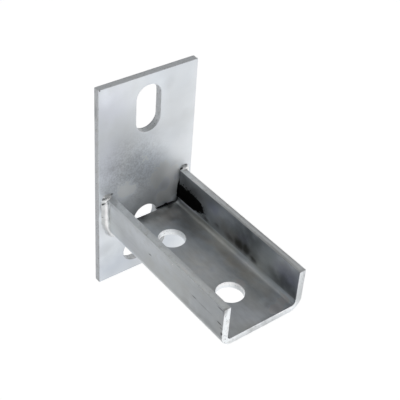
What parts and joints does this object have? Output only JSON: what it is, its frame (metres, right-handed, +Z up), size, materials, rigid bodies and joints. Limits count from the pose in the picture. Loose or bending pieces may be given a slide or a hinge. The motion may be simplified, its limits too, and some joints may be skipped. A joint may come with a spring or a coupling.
{
  "type": "strut saddle flange",
  "caption": "Wall plate with fixing slots and a channel welded square to its face, which takes the end of a strut rail.",
  "frame": {"origin": "centre of the plate's back face, which lies against the wall", "axes": "+Y out of the back of the plate into the wall, +Z up along the plate, +X to the right, with the channel pointing along -Y and open upwards"},
  "size_m": [0.06, 0.1045, 0.125],
  "materials": {
    "zinc_plated_steel": "bright zinc plating over rolled sheet, with soft streaks and light handling marks",
    "weld_metal": "rippled weld bead under the same zinc plating"
  },
  "bodies": {
    "root": {"base_plate": "zinc_plated_steel", "saddle_channel": "zinc_plated_steel", "left_weld": "weld_metal", "right_weld": "weld_metal"}
  },
  "joints": []
}
